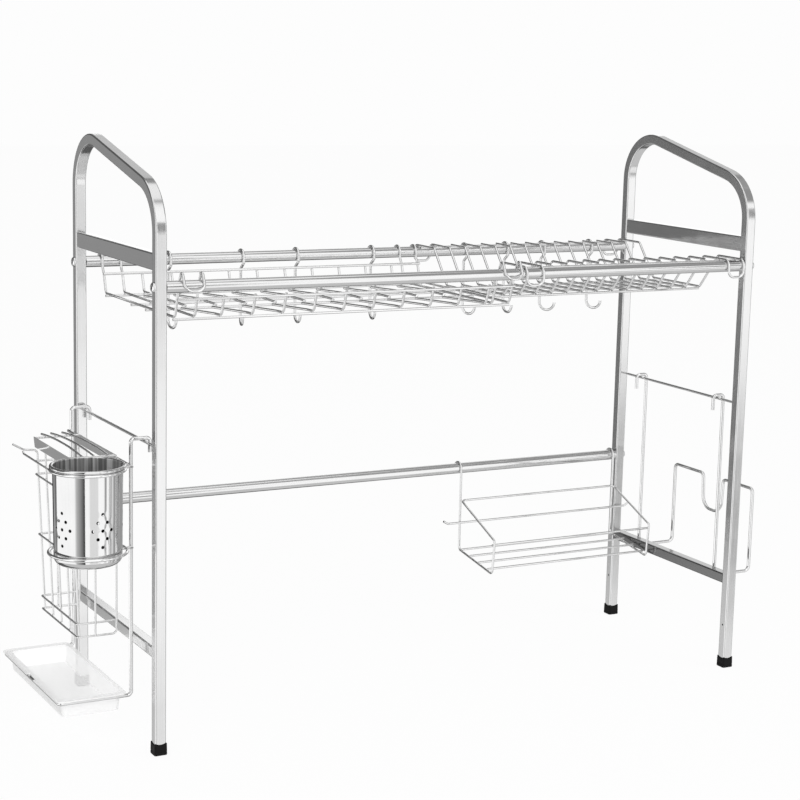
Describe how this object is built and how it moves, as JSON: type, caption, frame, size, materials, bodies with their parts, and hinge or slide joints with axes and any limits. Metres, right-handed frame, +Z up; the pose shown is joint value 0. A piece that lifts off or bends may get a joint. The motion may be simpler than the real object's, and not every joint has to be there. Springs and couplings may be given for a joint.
{
  "type": "over sink dish rack",
  "caption": "Over-sink dish rack of polished steel tube with shelf racks, S-hooks, a spice basket, a board holder and a side carrier with knife holder, cup and drip tray",
  "frame": {"origin": "centre of the front left foot's underside, on the ground", "axes": "+X along the length to the right, +Y from front to back, +Z up"},
  "size_m": [1.1281, 0.336, 0.7913],
  "materials": {
    "frame_steel": "polished stainless tube with a fine grain along it",
    "polished_steel": "bright polished stainless wire, rods and sheet",
    "foot_rubber": "matte moulded black rubber",
    "plug_plastic": "black moulded plastic",
    "tray_plastic": "translucent white moulded plastic"
  },
  "bodies": {
    "frame": {"left_end_frame": "frame_steel", "right_end_frame": "frame_steel", "left_upper_plate": "frame_steel", "right_upper_plate": "frame_steel", "left_hook_rod": "polished_steel", "right_hook_rod": "polished_steel", "left_lower_bar": "frame_steel", "right_lower_bar": "frame_steel", "front_top_rail": "polished_steel", "back_top_rail": "polished_steel", "lower_back_rail": "polished_steel", "rail_bolts": "polished_steel", "rail_end_plugs": "plug_plastic", "front_left_foot": "foot_rubber", "back_left_foot": "foot_rubber", "front_right_foot": "foot_rubber", "back_right_foot": "foot_rubber"},
    "left_rack": {"left_rack_cross_wires": "polished_steel", "left_rack_end_wires": "polished_steel", "left_rack_long_wires": "polished_steel"},
    "right_rack": {"right_rack_cross_wires": "polished_steel", "right_rack_end_wires": "polished_steel", "right_rack_long_wires": "polished_steel"},
    "s_hook_body_1": {"s_hook_1": "polished_steel"},
    "s_hook_body_2": {"s_hook_2": "polished_steel"},
    "s_hook_body_3": {"s_hook_3": "polished_steel"},
    "s_hook_body_4": {"s_hook_4": "polished_steel"},
    "s_hook_body_5": {"s_hook_5": "polished_steel"},
    "s_hook_body_6": {"s_hook_6": "polished_steel"},
    "s_hook_body_7": {"s_hook_7": "polished_steel"},
    "s_hook_body_8": {"s_hook_8": "polished_steel"},
    "spice_basket": {"spice_basket_frame": "polished_steel", "spice_basket_floor": "polished_steel", "spice_basket_bar": "polished_steel"},
    "board_rack": {"board_holder": "polished_steel"},
    "side_carrier": {"carrier_frame": "polished_steel", "knife_beam": "polished_steel", "knife_inner_plate": "polished_steel", "knife_outer_plate": "polished_steel", "knife_dividers": "polished_steel", "cage_uprights": "polished_steel", "cage_base_wire": "polished_steel", "cage_end_uprights": "polished_steel", "cage_rings": "polished_steel", "utensil_hook": "polished_steel", "cup_rings": "polished_steel"},
    "cup": {"cutlery_cup": "polished_steel"},
    "tray": {"drip_tray": "tray_plastic"}
  },
  "joints": [
    {"name": "left_rack_lift", "type": "slide", "parent": "frame", "child": "left_rack", "axis": [0, 0, 1], "range_m": [0, 0.06]},
    {"name": "right_rack_lift", "type": "slide", "parent": "frame", "child": "right_rack", "axis": [0, 0, 1], "range_m": [0, 0.06]},
    {"name": "s_hook_1_swing", "type": "hinge", "parent": "frame", "child": "s_hook_body_1", "pos_m": [0.13107, 0.308, 0.612], "axis": [1, 0, 0], "range_deg": [-20, 60]},
    {"name": "s_hook_2_swing", "type": "hinge", "parent": "frame", "child": "s_hook_body_2", "pos_m": [0.24303, 0.308, 0.612], "axis": [1, 0, 0], "range_deg": [-20, 60]},
    {"name": "s_hook_3_swing", "type": "hinge", "parent": "frame", "child": "s_hook_body_3", "pos_m": [0.32997, 0.308, 0.612], "axis": [1, 0, 0], "range_deg": [-20, 60]},
    {"name": "s_hook_4_swing", "type": "hinge", "parent": "frame", "child": "s_hook_body_4", "pos_m": [0.45399, 0.308, 0.612], "axis": [1, 0, 0], "range_deg": [-20, 60]},
    {"name": "s_hook_5_swing", "type": "hinge", "parent": "frame", "child": "s_hook_body_5", "pos_m": [0.61446, 0.308, 0.612], "axis": [1, 0, 0], "range_deg": [-20, 60]},
    {"name": "s_hook_6_swing", "type": "hinge", "parent": "frame", "child": "s_hook_body_6", "pos_m": [0.687, 0.308, 0.612], "axis": [1, 0, 0], "range_deg": [-20, 60]},
    {"name": "s_hook_7_swing", "type": "hinge", "parent": "frame", "child": "s_hook_body_7", "pos_m": [0.75396, 0.308, 0.612], "axis": [1, 0, 0], "range_deg": [-20, 60]},
    {"name": "s_hook_8_swing", "type": "hinge", "parent": "frame", "child": "s_hook_body_8", "pos_m": [0.84198, 0.308, 0.612], "axis": [1, 0, 0], "range_deg": [-20, 60]},
    {"name": "spice_basket_slide", "type": "slide", "parent": "frame", "child": "spice_basket", "axis": [1, 0, 0], "range_m": [-0.56, 0.004]},
    {"name": "board_rack_swing", "type": "hinge", "parent": "frame", "child": "board_rack", "pos_m": [0.915, 0.154, 0.406], "axis": [0, -1, 0], "range_deg": [0, 60]},
    {"name": "side_carrier_swing", "type": "hinge", "parent": "frame", "child": "side_carrier", "pos_m": [0, 0.154, 0.406], "axis": [0, 1, 0], "range_deg": [0, 25]},
    {"name": "cup_lift", "type": "slide", "parent": "side_carrier", "child": "cup", "axis": [0, 0, 1], "range_m": [0, 0.085]},
    {"name": "tray_lift", "type": "slide", "parent": "side_carrier", "child": "tray", "axis": [0, 0, 1], "range_m": [0, 0.03]}
  ]
}
